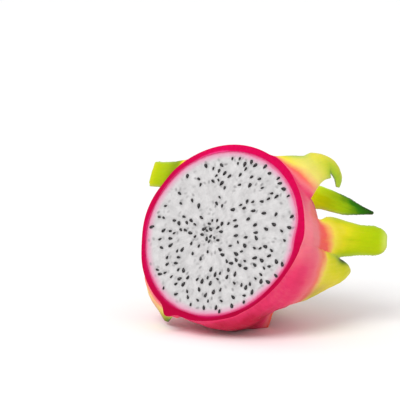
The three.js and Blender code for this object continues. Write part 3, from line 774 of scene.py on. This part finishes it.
def distance_from_body(fruit, angle, radius, depth):
    """How far places stand off the body's surface, in or out."""
    body_radius = fruit.body(angle, np.clip(depth, 0, fruit.depth * 0.97))
    slope = np.clip(radius / fruit.outer_radius, 0.2, 1)
    distance = np.abs(radius - body_radius) * slope
    return np.where(depth > SCAR_DEPTH - 2, np.minimum(distance, 0.6), distance)


def paint_rind(mesh, fruit, scales):
    """Writes on every vertex how it is coloured and where it lies on the body or on a scale."""
    points = vectors(mesh.vertices, "co")
    angle, radius, depth = around(points)
    facts, distance = facts_nearby(points, scales)
    leafy = ease(-0.8, 0.8, distance_from_body(fruit, angle, radius, depth) - distance)

    pale = bumps(PALE_SIDE, angle) * (1 - ease(12, 36, depth))
    # painted shade on the underside, away from the cut
    under = bumps(UNDERSIDE_SHADE, angle) * ease(0, 6, depth)
    tanned = bumps(TANNED_SIDE, angle) * ease(2, 10, depth) * (1 - ease(20, 34, depth))
    bare_tone = (BODY_TONE + PALE_TONE * pale + UNDER_SHADE_TONE * under + TANNED_TONE * tanned
                 + STRIPE_TONE * np.sin(np.radians(angle * 3 + 150)) * ease(2, 12, depth))
    bright_side = ease(-12, 6, angle) * (1 - ease(14, 34, angle))
    attribute(mesh, "tone", bare_tone * (1 - leafy) + facts["tone"] * leafy)
    # the last of these is the scales' painted light and shade
    for name in ("margin", "inner_face", "cream", "painted_light_and_shade"):
        attribute(mesh, name, facts[name] * leafy)
    attribute(mesh, "leafy", leafy)
    attribute(mesh, "grain", np.stack([facts[name] for name in ("along", "across", "number")], axis=1))
    attribute(mesh, "spot", points)
    attribute(mesh, "scar", (1 - ease(6.5, 10.5, radius)) * ease(48, 51, depth))
    # painted highlight: a pale band on the skin just behind the knife's edge, on the right side
    attribute(mesh, "painted_edge_highlight", (1 - ease(0.2, 1.8, depth)) * bright_side)
    attribute(mesh, "pale", pale * (1 - leafy * ease(8, 16, depth)))
    # partly the rind's own deeper colour, partly painted shade on the lower side and at the upper left
    attribute(mesh, "deep_and_shade", np.clip(0.25 + bumps(RING_DEPTH_AND_SHADE, angle), 0, 1))
    attribute(mesh, "from_pulp", radius - fruit.pulp(angle, 0.0) + bumps(STAIN_REACH, angle))
    # painted light on the stained edge at the upper left
    attribute(mesh, "lit", bumps(PAINTED_LIGHT_RIM, angle))


def part_faces(mesh, fruit):
    """Cut faces take the second material and keep a sharp edge to the skin."""
    centre, normal = vectors(mesh.polygons, "center"), vectors(mesh.polygons, "normal")
    angle, radius, depth = around(centre)
    on_cut = (depth < 0.01) & (normal[:, 2] > 0.9)
    room = fruit.pulp(angle, np.maximum(depth, 0), GAP)
    facing_in = (normal[:, :2] * centre[:, :2]).sum(axis=1) < 0
    inside = (radius < room + 0.25) & (depth < fruit.pulp_depth + 1) & (facing_in | (normal[:, 2] > 0.5))
    kind = np.where(on_cut, 1, np.where(inside, 2, 0))    # 0 is skin, 2 the wall round the pulp
    mesh.polygons.foreach_set("material_index", np.minimum(kind, 1).astype(np.int32))
    mesh.polygons.foreach_set("use_smooth", (kind != 1).astype(bool))

    sizes = np.empty(len(kind), np.int32)
    mesh.polygons.foreach_get("loop_total", sizes)
    edge = np.empty(len(mesh.loops), np.int32)
    mesh.loops.foreach_get("edge_index", edge)
    loop_kind = np.repeat(kind, sizes)
    lowest = np.full(len(mesh.edges), 9)
    highest = np.full(len(mesh.edges), -1)
    np.minimum.at(lowest, edge, loop_kind)
    np.maximum.at(highest, edge, loop_kind)
    sharp = mesh.attributes.new("sharp_edge", "BOOLEAN", "EDGE")
    sharp.data.foreach_set("value", lowest != highest)


def roughen(mesh):
    """Gives the skin its soft relief, which fades out towards the cut."""
    points, normals = vectors(mesh.vertices, "co"), vectors(mesh.vertex_normals, "vector")
    swing = ease(1, 7, -points[:, 2])
    for size, height, start in SKIN_RELIEF:
        points = uneven(points, normals, size, height * swing, start)
    mesh.vertices.foreach_set("co", points.astype(np.float32).ravel())
    mesh.update()


def cutters_of_rind(fruit):
    """The pulp's room, all that is ahead of the cut face, and all that is below the table."""
    depths = row_depths(ROOM_ROWS, fruit.pulp_depth)
    rings = surface_rings(lambda angle, depth: fruit.pulp(angle, depth, GAP), ROOM_SIDES, depths)
    room = ringed(rings, (0, 0, CUT_MARGIN), (0, 0, -fruit.pulp_depth - GAP))
    to_fruit = lie_down().inverted() @ Matrix.Diagonal((MM, MM, MM, 1))
    return [new_object("room", *merge_faces(room)),
            box_cutter("ahead", Matrix.Translation((0, 0, CUTTER_HALF[1]))),
            box_cutter("table", to_fruit @ Matrix.Translation((0, 0, -CUTTER_HALF[1])))]


def build_rind(sizes, colours):
    """The cup of skin with its scales, sliced at the cut face and flat underneath."""
    fruit = Fruit(sizes)
    specs = SCALES + [far_scale(fruit, *far) for far in FAR_SCALES] + [crown_scale(*c) for c in CROWN]
    scales = [Scale(spec, number) for number, spec in enumerate(specs)]
    rind = new_object("rind", *skin_surface(fruit, scales, sizes.voxel / MM))
    thin_out(rind, RIND_TRIANGLES)
    roughen(rind.data)
    cut_away(rind, cutters_of_rind(fruit))

    rind.data.materials.clear()
    rind.data.materials.append(skin_finish(colours))
    rind.data.materials.append(cut_rind_finish(colours))
    paint_rind(rind.data, fruit, scales)
    part_faces(rind.data, fruit)
    rind.data.transform(lie_down())
    return rind


# ---- the pulp and its seeds ----

def drawer(start):
    """Repeatable draws between 0 and 1."""
    state = start

    def draw():
        nonlocal state
        state = state * 16807 % 2147483647
        return state / 2147483647
    return draw


def drawn_place(draw, heart_share, reach):
    """A place on the cut face, at times in the dense cluster: whether it is, x and y."""
    clustered = draw() < heart_share
    radius = (HEART_REACH if clustered else reach) * math.sqrt(draw())
    angle = draw() * 2 * math.pi
    middle = HEART if clustered else (0, 0)
    return clustered, radius * math.cos(angle) + middle[0], radius * math.sin(angle) + middle[1]


def seed_places(count):
    """Dark seeds, which point roughly at the cluster: x, y, turn."""
    draw = drawer(SEED_DRAW)
    places = []
    while len(places) < count:
        clustered, x, y = drawn_place(draw, HEART_SHARE, SEED_REACH)
        turn = (draw() - 0.5) * SEED_TURN
        spacing = SEED_SPACING * (HEART_SPACING if clustered else 1)
        if all(math.hypot(p[0] - x, p[1] - y) > spacing for p in places):
            places.append((x, y, math.atan2(y - HEART[1], x - HEART[0]) + turn))
    return places


def faint_places(count, taken):
    """Seeds that lie just under the surface, clear of the dark ones: x, y, turn, strength."""
    draw = drawer(SEED_DRAW + 11)
    places = []
    while len(places) < count:
        _, x, y = drawn_place(draw, 2 * HEART_SHARE, SEED_REACH + 0.5)
        turn, strength = draw() * math.pi, 0.25 + 0.75 * draw() ** 1.6
        if min(math.hypot(p[0] - x, p[1] - y) for p in taken + places) > FAINT_SPACING:
            places.append((x, y, turn, strength))
    return places


def disc(rows):
    """Evenly meshed unit disc: ring i has 6 i points. Gives points, triangles, first point of the edge."""
    points = [(0.0, 0.0)]
    for i in range(1, rows + 1):
        turn = np.arange(6 * i) * 2 * np.pi / (6 * i)
        points += list(zip(np.cos(turn) * i / rows, np.sin(turn) * i / rows))
    start = [0] + [1 + 3 * i * (i - 1) for i in range(1, rows + 1)]
    triangles = []
    for i in range(1, rows + 1):
        inner, outer = max(6 * (i - 1), 1), 6 * i
        for sector in range(6):
            for k in range(i):
                a = start[i] + sector * i + k
                b = start[i] + (sector * i + k + 1) % outer
                c = start[i - 1] + (sector * (i - 1) + k) % inner
                triangles.append((a, b, c))
                if k < i - 1:
                    d = start[i - 1] + (sector * (i - 1) + k + 1) % inner
                    triangles.append((c, b, d))
    return np.array(points), triangles, start[rows]


def closeness(points, places, long, wide):
    """How near each point is to an ellipse turned as the seed at one of the places, from 0 to 1."""
    best = np.zeros(len(points))
    for x, y, turn, strength in places:
        dx, dy = points[:, 0] - x, points[:, 1] - y
        near = np.maximum(np.abs(dx), np.abs(dy)) < 4
        a = (dx[near] * math.cos(turn) + dy[near] * math.sin(turn)) / long
        b = (-dx[near] * math.sin(turn) + dy[near] * math.cos(turn)) / wide
        best[near] = np.maximum(best[near], strength * (1 - ease(0.45, 1.35, np.hypot(a, b))))
    return best


def pulp_wall(fruit, angle, first, grown):
    """Points and faces behind the pulp's face. The angles are those of its edge's points, which are
    numbered from first."""
    depths = fruit.pulp_depth * np.sin(np.arange(1, WALL_ROWS) / WALL_ROWS * np.pi / 2)
    rings = [place(angle, fruit.pulp(angle, depth, grown), depth) for depth in depths]
    points = np.concatenate(rings + [[(0, 0, -fruit.pulp_depth)]])
    j = np.arange(len(angle))
    k = (j + 1) % len(angle)
    rows = [first + i * len(angle) + j for i in range(WALL_ROWS)]
    faces = []
    for upper, lower in zip(rows, rows[1:]):
        faces += np.stack([upper, lower, lower[k], upper[k]], axis=1).tolist()
    end = np.full(len(angle), first + len(angle) + len(points) - 1)
    faces += np.stack([rows[-1], end, rows[-1][k]], axis=1).tolist()
    return points, faces


def build_pulp(sizes, colours):
    """The dome of pulp, its face uneven and marked with where the seeds lie."""
    fruit = Fruit(sizes)
    grown = GAP - PULP_CLEARANCE
    flat, faces, edge_start = disc(FACE_ROWS)
    angle = np.degrees(np.arctan2(flat[:, 1], flat[:, 0]))
    share = np.hypot(flat[:, 0], flat[:, 1])
    radius = fruit.pulp(angle, 0.0, grown) * share
    face = place(angle, radius, 0.0)
    seeds = [(*p, 1.0) for p in seed_places(sizes.seed_count)]
    faint = faint_places(sizes.faint_count, seeds)
    halo = closeness(face, seeds, *SEED_HALO)
    ghost = closeness(face, faint, *FAINT_SEED)
    relief = sum(height * np.array([noise.noise(Vector((x / size, y / size, start))) for x, y, _ in face])
                 for size, height, start in FACE_RELIEF)
    edge = ease(0.985, 1.0, share)
    face[:, 2] = relief - HALO_DROP * halo + FAINT_RISE * ghost - FACE_DROP - EDGE_DROP * edge

    wall, wall_faces = pulp_wall(fruit, angle[edge_start:], edge_start, grown * 0.6)
    points = np.concatenate([face, wall])
    pulp = new_object("pulp", points, faces + wall_faces)
    mesh = pulp.data
    mesh.shade_smooth()
    from_rind = radius.max() * (1 - share) - CLEAN_EDGE - bumps(STAIN_REACH, angle)
    for name, values in (("halo", halo), ("faint_seed", ghost), ("from_rind", from_rind)):
        attribute(mesh, name, np.concatenate([values, np.zeros(len(wall))]))
    attribute(mesh, "spot", points)
    mesh.transform(lie_down())
    mesh.materials.append(pulp_finish(colours))
    return pulp


def seed_shape(half_length, half_width, half_height):
    """Tear-shaped seed along X, its point at -X: rings of points and its two ends."""
    t = np.linspace(0, np.pi, SEED_ROWS + 2)[1:-1]
    turn = np.arange(SEED_SIDES) * 2 * np.pi / SEED_SIDES
    across = np.sin(t) * (1 - 0.28 * np.cos(t))
    x = -np.cos(t) * half_length
    rings = np.stack([
        np.broadcast_to(x[:, None], (SEED_ROWS, SEED_SIDES)),
        across[:, None] * half_width * np.cos(turn),
        across[:, None] * half_height * np.sin(turn)], axis=-1)
    return rings, (-half_length * 1.12, 0, 0), (half_length, 0, 0)


def build_seeds(sizes, colours):
    """All dark seeds as one object, each sunk into the pulp's face."""
    draw = drawer(SEED_DRAW + 23)
    long, wide, stand = (size / MM for size in (sizes.seed_length, sizes.seed_width, sizes.seed_stand))
    points, faces, count = [], [], 0
    for x, y, turn in seed_places(sizes.seed_count):
        size = 0.68 + 0.42 * draw()
        pitch = (draw() - 0.5) * 0.9
        plump = 0.88 + 0.2 * draw()
        surface = ringed(*seed_shape(long / 2 * size * (1 - 0.25 * abs(pitch)), wide / 2 * size * plump,
                                     stand * SEED_HEIGHT))
        turned = Matrix.Rotation(turn, 3, "Z") @ Matrix.Rotation(pitch * 0.25, 3, "Y")
        at = surface[0] @ np.array(turned).T + (x, y, -stand * SEED_SINK)
        points.append(at)
        faces += [[count + i for i in f] for f in merge_faces(surface)[1]]
        count += len(at)
    seeds = new_object("seeds", np.concatenate(points), faces)
    mesh = seeds.data
    mesh.shade_smooth()
    attribute(mesh, "spot", vectors(mesh.vertices, "co"))
    mesh.transform(lie_down())
    mesh.materials.append(seed_finish(colours))
    return seeds


# ======== finishes ========

class Finish:
    """A material and short ways to add its nodes. Every way gives the new node's output."""

    def __init__(self, name):
        self.material = bpy.data.materials.new(name)
        self.material.use_nodes = True
        self.surface = self.material.node_tree.nodes["Principled BSDF"]

    def join(self, source, socket):
        if hasattr(source, "is_output"):
            self.material.node_tree.links.new(source, socket)
        else:
            socket.default_value = source

    def set(self, **values):
        """Sets the shader's own sockets, or joins them to outputs."""
        for name, value in values.items():
            self.join(value, self.surface.inputs[name.replace("_", " ")])

    def node(self, kind, output, inputs, **settings):
        node = self.material.node_tree.nodes.new("ShaderNode" + kind)
        for name, value in settings.items():
            setattr(node, name, value)
        for socket, source in inputs.items():
            self.join(source, node.inputs[socket])
        return node.outputs[output]

    def read(self, name, vector=False):
        return self.node("Attribute", "Vector" if vector else "Fac", {}, attribute_name=name)

    def math(self, operation, a, b, clamp=False):
        return self.node("Math", 0, {0: a, 1: b}, operation=operation, use_clamp=clamp)

    def add(self, a, b, clamp=False):
        return self.math("ADD", a, b, clamp)

    def times(self, a, b):
        return self.math("MULTIPLY", a, b)

    def swing(self, noise, reach):
        """The noise about its middle, times the reach."""
        return self.times(self.math("SUBTRACT", noise, 0.5), reach)

    def vector(self, operation, a, b=(0, 0, 0)):
        return self.node("VectorMath", "Vector", {0: a, 1: b}, operation=operation)

    def scaled(self, shade, by):
        """The colour times a number that may be above 1."""
        return self.node("VectorMath", "Vector", {0: shade, "Scale": by}, operation="SCALE")

    def noise(self, vector, scale, detail, roughness=0.5, stretch=(1, 1, 1)):
        stretched = self.vector("MULTIPLY", vector, stretch)
        return self.node("TexNoise", "Fac", {
            "Vector": stretched, "Scale": scale, "Detail": detail, "Roughness": roughness})

    def cells(self, vector, scale):
        return self.node("TexVoronoi", "Distance", {"Vector": vector, "Scale": scale})

    def between(self, value, low, high, to_low, to_high):
        """Runs smoothly from to_low where the value is low to to_high where it is high."""
        inputs = dict(enumerate((value, low, high, to_low, to_high)))
        return self.node("MapRange", "Result", inputs, interpolation_type="SMOOTHSTEP")

    def mix(self, share, a, b):
        a, b = (shade if hasattr(shade, "is_output") else (*shade, 1) for shade in (a, b))
        return self.node("Mix", 2, {0: share, 6: a, 7: b}, data_type="RGBA")

    def ramp(self, value, stops):
        output = self.node("ValToRGB", "Color", {"Fac": value})
        elements = output.node.color_ramp.elements
        while len(elements) < len(stops):
            elements.new(0.5)
        for element, (at, shade) in zip(elements, stops):
            element.position = at
            element.color = (*shade, 1)
        return output

    def bump(self, height, distance, strength):
        """Normal of a relief whose height is in millimetres."""
        return self.node("Bump", "Normal", {
            "Height": height, "Distance": distance * MM, "Strength": strength})


def skin_finish(c):
    """Waxy skin that runs from pink through coral and yellow to green along every scale."""
    f = Finish("skin")
    spot, grain = f.read("spot", True), f.read("grain", True)
    leafy = f.read("leafy")
    clouds = f.noise(spot, 0.07, 3.0, 0.55)
    body_streaks = f.noise(spot, 0.55, 3.0, 0.6, (1, 1, 0.12))
    leaf_streaks = f.noise(grain, 0.9, 3.0, 0.6, (0.09, 1, 3.7))
    streaks = f.add(f.times(body_streaks, f.math("SUBTRACT", 1.0, leafy)), f.times(leaf_streaks, leafy))
    streak_depth = f.math("SUBTRACT", 0.10, f.times(leafy, 0.04))
    tone = f.add(f.read("tone"), f.swing(clouds, 0.14))
    tone = f.add(tone, f.swing(streaks, streak_depth))
    tone = f.add(tone, f.times(f.read("margin"), 0.05))
    tone = f.add(tone, f.times(f.read("inner_face"), 0.04), clamp=True)
    shade = f.ramp(tone, [
        (0.0, c.crimson), (0.12, c.pink), (0.25, c.salmon), (0.35, c.coral), (0.45, c.peach),
        (0.53, c.yellow), (0.63, c.straw), (0.75, c.lime), (0.86, c.green), (0.94, c.deep_green),
        (1.0, c.tip)])
    shade = f.mix(f.times(f.read("margin"), f.between(tone, 0.5, 0.75, 0.0, 0.16)), shade, c.margin)
    shade = f.mix(f.between(f.cells(spot, 0.9), 0.05, 0.22, 0.12, 0.0), shade, c.crimson)
    # cream and pale are the skin's own colours; the third wash is a painted highlight along the knife's edge
    for name, share, wash in (("cream", 0.9, c.cream), ("pale", 0.45, c.pale), ("painted_edge_highlight", 0.8, c.edge_highlight)):
        shade = f.mix(f.times(f.read(name), share), shade, wash)
    # painted light and shade: the colour is brightened, or darkened, by the scales' light column
    shade = f.scaled(shade, f.add(1.0, f.times(f.read("painted_light_and_shade"), 0.7)))
    dry = f.times(f.read("scar"), f.between(f.noise(spot, 0.8, 4.0), 0.3, 0.6, 0.7, 1.0))
    shade = f.mix(dry, shade, c.scar)
    wrinkles = f.add(streaks, f.times(f.noise(spot, 2.2, 3.0), 0.4))
    f.set(Base_Color=shade, Roughness=f.between(streaks, 0.3, 0.7, 0.38, 0.52),
          Specular_IOR_Level=0.08, Subsurface_Weight=0.15, Subsurface_Radius=(1.0, 0.45, 0.2),
          Subsurface_Scale=2.0 * MM, Coat_Weight=0.02, Coat_Roughness=0.25,
          Normal=f.bump(wrinkles, 0.5, 0.5))
    return f.material


def cut_rind_finish(c):
    """Wet cut rind, hot pink, deeper round much of the ring, partly its own colour and partly painted shade,
    stained paler next to the pulp, and that stain painted lighter at the upper left.
    """
    f = Finish("cut_rind")
    spot = f.read("spot", True)
    mottle = f.noise(spot, 0.5, 4.0, 0.6)
    # partly own colour, partly painted shade round the ring
    shade = f.mix(f.read("deep_and_shade"), c.ring, c.deep_and_shaded_ring)
    shade = f.mix(f.between(mottle, 0.35, 0.7, 0.0, 0.3), shade, c.deep_and_shaded_ring)
    from_pulp = f.add(f.read("from_pulp"), f.swing(mottle, 0.8))
    shade = f.mix(f.between(from_pulp, 0.3, 1.8, 0.45, 0.0), shade, c.inner_ring)
    # painted light: the stain turns lighter at the upper left
    stain = f.mix(f.read("lit"), c.stain, c.painted_lit_stain)
    shade = f.mix(f.between(from_pulp, -0.3, 0.9, 0.7, 0.0), shade, stain)
    f.set(Base_Color=shade, Roughness=0.45, Specular_IOR_Level=0.03,
          Normal=f.bump(f.noise(spot, 1.6, 4.0), 0.3, 0.35))
    return f.material


def pulp_finish(c):
    """Translucent white pulp with fine fibres towards the cluster and seeds showing through."""
    f = Finish("pulp")
    spot = f.read("spot", True)
    from_heart = f.vector("NORMALIZE", f.vector("ADD", spot, (-HEART[0], -HEART[1], 0)))
    ray = f.vector("ADD", f.vector("MULTIPLY", from_heart, (13, 13, 0)),
                   f.vector("MULTIPLY", spot, (0.06, 0.06, 0)))
    fibres = f.noise(ray, 1.0, 4.0, 0.65)
    clouds = f.noise(spot, 0.16, 3.0, 0.55)
    flecks = f.noise(spot, 0.35, 3.0, 0.5)
    grain = f.noise(spot, 1.3, 3.0, 0.6)
    shade = c.flesh
    for texture, low, high, share in ((fibres, 0.35, 0.72, 0.10), (clouds, 0.35, 0.7, 0.16),
                                      (flecks, 0.42, 0.62, 0.12), (grain, 0.4, 0.75, 0.07)):
        shade = f.mix(f.between(texture, low, high, 0.0, share), shade, c.shade)
    near_rind = f.add(f.read("from_rind"), f.swing(clouds, 1.2))
    shade = f.mix(f.between(near_rind, 0.5, 4.5, 1.0, 0.0), shade, c.lilac)
    shade = f.mix(f.between(near_rind, -0.1, 1.6, 0.95, 0.0), shade, c.stain)
    for name, share in (("halo", 0.14), ("faint_seed", 0.75)):
        shade = f.mix(f.times(f.read(name), share), shade, c.shade)
    relief = f.add(f.times(grain, 0.6), fibres)
    f.set(Base_Color=shade, Roughness=0.3, Specular_IOR_Level=0.35, Subsurface_Weight=0.55,
          Subsurface_Radius=(1.0, 0.95, 0.95), Subsurface_Scale=1.6 * MM, Coat_Weight=0.15,
          Coat_Roughness=0.15, Normal=f.bump(relief, 0.25, 0.35))
    return f.material


def seed_finish(c):
    """Hard glossy seed coat, nearly black."""
    f = Finish("seed")
    spot = f.read("spot", True)
    shade = f.mix(f.between(f.noise(spot, 0.7, 2.0), 0.4, 0.7, 0.0, 0.5), c.seed, c.seed_brown)
    f.set(Base_Color=shade, Roughness=f.between(f.noise(spot, 2.5, 2.0), 0.3, 0.7, 0.22, 0.4),
          Specular_IOR_Level=0.4, Normal=f.bump(f.noise(spot, 4.0, 2.0), 0.05, 0.4))
    return f.material


def floor_finish(c):
    """Pale matt floor."""
    f = Finish("floor")
    f.set(Base_Color=(*c.floor, 1), Roughness=0.8, Specular_IOR_Level=0.1)
    return f.material


# ======== stage ========

def outwards(azimuth, elevation):
    """Direction away from the fruit; azimuth 0 is -Y and 90 is +X."""
    a, e = math.radians(azimuth), math.radians(elevation)
    return Vector((math.sin(a) * math.cos(e), -math.cos(a) * math.cos(e), math.sin(e)))


def add_facing(data, away, location):
    """Puts a camera or a light in the scene, looking back along the direction."""
    made = bpy.data.objects.new(data.name, data)
    made.location = location
    made.rotation_mode = "QUATERNION"
    made.rotation_quaternion = (-away).to_track_quat("-Z", "Y")
    bpy.context.scene.collection.objects.link(made)
    return made


def add_camera():
    back = outwards(VIEW_AZIMUTH, VIEW_ELEVATION)
    right = outwards(VIEW_AZIMUTH + 90, 0)
    up = back.cross(right)
    data = bpy.data.cameras.new("camera")
    data.sensor_width = SENSOR
    data.lens = SENSOR * VIEW_DISTANCE / FRAME_WIDTH
    face_centre = lie_down() @ Vector((0, 0, 0))
    at = face_centre + right * VIEW_RIGHT + up * VIEW_UP + back * VIEW_DISTANCE
    bpy.context.scene.camera = add_facing(data, back, at)


def add_sun():
    """Distant soft light, so that the floor is lit evenly far behind the fruit."""
    data = bpy.data.lights.new("sun", "SUN")
    data.energy = SUN["power"]
    data.angle = math.radians(SUN["spread"])
    add_facing(data, outwards(VIEW_AZIMUTH + SUN["azimuth"], SUN["elevation"]), (0, 0, 0))


def add_softbox():
    """Square light near the fruit, which gives its shading."""
    data = bpy.data.lights.new("key", "AREA")
    data.size = KEY["size"]
    data.energy = KEY["power"]
    away = outwards(VIEW_AZIMUTH + KEY["azimuth"], KEY["elevation"])
    add_facing(data, away, Vector(KEY_AIM) + away * KEY["distance"])


def build_stage(colours):
    """World, floor, lights and camera."""
    scene = bpy.context.scene
    scene.view_settings.view_transform = "Standard"
    world = bpy.data.worlds.new("studio")
    world.use_nodes = True
    world.node_tree.nodes["Background"].inputs["Color"].default_value = (1, 1, 1, 1)
    world.node_tree.nodes["Background"].inputs["Strength"].default_value = WORLD
    scene.world = world
    r = FLOOR_REACH
    floor = new_object("floor", [(-r, -r, 0), (r, -r, 0), (r, r, 0), (-r, r, 0)], [(0, 1, 2, 3)])
    floor.location.z = -FLOOR_DROP
    floor.data.materials.append(floor_finish(colours))
    add_sun()
    add_softbox()
    add_camera()


# ======== add-on ========

class DRAGONFRUIT_OT_rind(bpy.types.Operator):
    """Build the rind: the cup of skin with its leafy scales, cut across"""
    bl_idname = "dragonfruit.rind"
    bl_label = "Rind"

    def execute(self, context):
        rind = build_rind(context.scene.fruit_sizes, context.scene.fruit_colours)
        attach(rind, "root")
        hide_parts("peel")
        return {"FINISHED"}


class DRAGONFRUIT_OT_pulp(bpy.types.Operator):
    """Build the pulp that fills the rind"""
    bl_idname = "dragonfruit.pulp"
    bl_label = "Pulp"

    def execute(self, context):
        pulp = build_pulp(context.scene.fruit_sizes, context.scene.fruit_colours)
        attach(pulp, "root")
        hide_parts("flesh")
        return {"FINISHED"}


class DRAGONFRUIT_OT_seeds(bpy.types.Operator):
    """Build the seeds that stand out of the cut face"""
    bl_idname = "dragonfruit.seeds"
    bl_label = "Seeds"

    def execute(self, context):
        seeds = build_seeds(context.scene.fruit_sizes, context.scene.fruit_colours)
        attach(seeds, "root")
        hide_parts("flesh")
        return {"FINISHED"}


class DRAGONFRUIT_OT_stage(bpy.types.Operator):
    """Build the floor, the lights and the camera"""
    bl_idname = "dragonfruit.stage"
    bl_label = "Stage"

    def execute(self, context):
        build_stage(context.scene.fruit_colours)
        return {"FINISHED"}


OPERATORS = (DRAGONFRUIT_OT_rind, DRAGONFRUIT_OT_pulp, DRAGONFRUIT_OT_seeds, DRAGONFRUIT_OT_stage)


class DRAGONFRUIT_PT_panel(bpy.types.Panel):
    """Sizes, colours and the building steps"""
    bl_idname = "DRAGONFRUIT_PT_panel"
    bl_label = "Dragon fruit half"
    bl_space_type = "VIEW_3D"
    bl_region_type = "UI"
    bl_category = "Dragon fruit"

    def draw(self, context):
        for operator in OPERATORS:
            self.layout.operator(operator.bl_idname)
        for group in (context.scene.fruit_sizes, context.scene.fruit_colours):
            box = self.layout.box()
            for name in group.__annotations__:
                box.prop(group, name)


CLASSES = (FruitSizes, FruitColours, *OPERATORS, DRAGONFRUIT_PT_panel)


def register():
    for cls in CLASSES:
        bpy.utils.register_class(cls)
    bpy.types.Scene.fruit_sizes = bpy.props.PointerProperty(type=FruitSizes)
    bpy.types.Scene.fruit_colours = bpy.props.PointerProperty(type=FruitColours)


def unregister():
    del bpy.types.Scene.fruit_colours
    del bpy.types.Scene.fruit_sizes
    for cls in reversed(CLASSES):
        bpy.utils.unregister_class(cls)


def main():
    register()
    bpy.ops.dragonfruit.rind()
    bpy.ops.dragonfruit.pulp()
    bpy.ops.dragonfruit.seeds()
    bpy.ops.dragonfruit.stage()


if __name__ == "__main__":
    main()
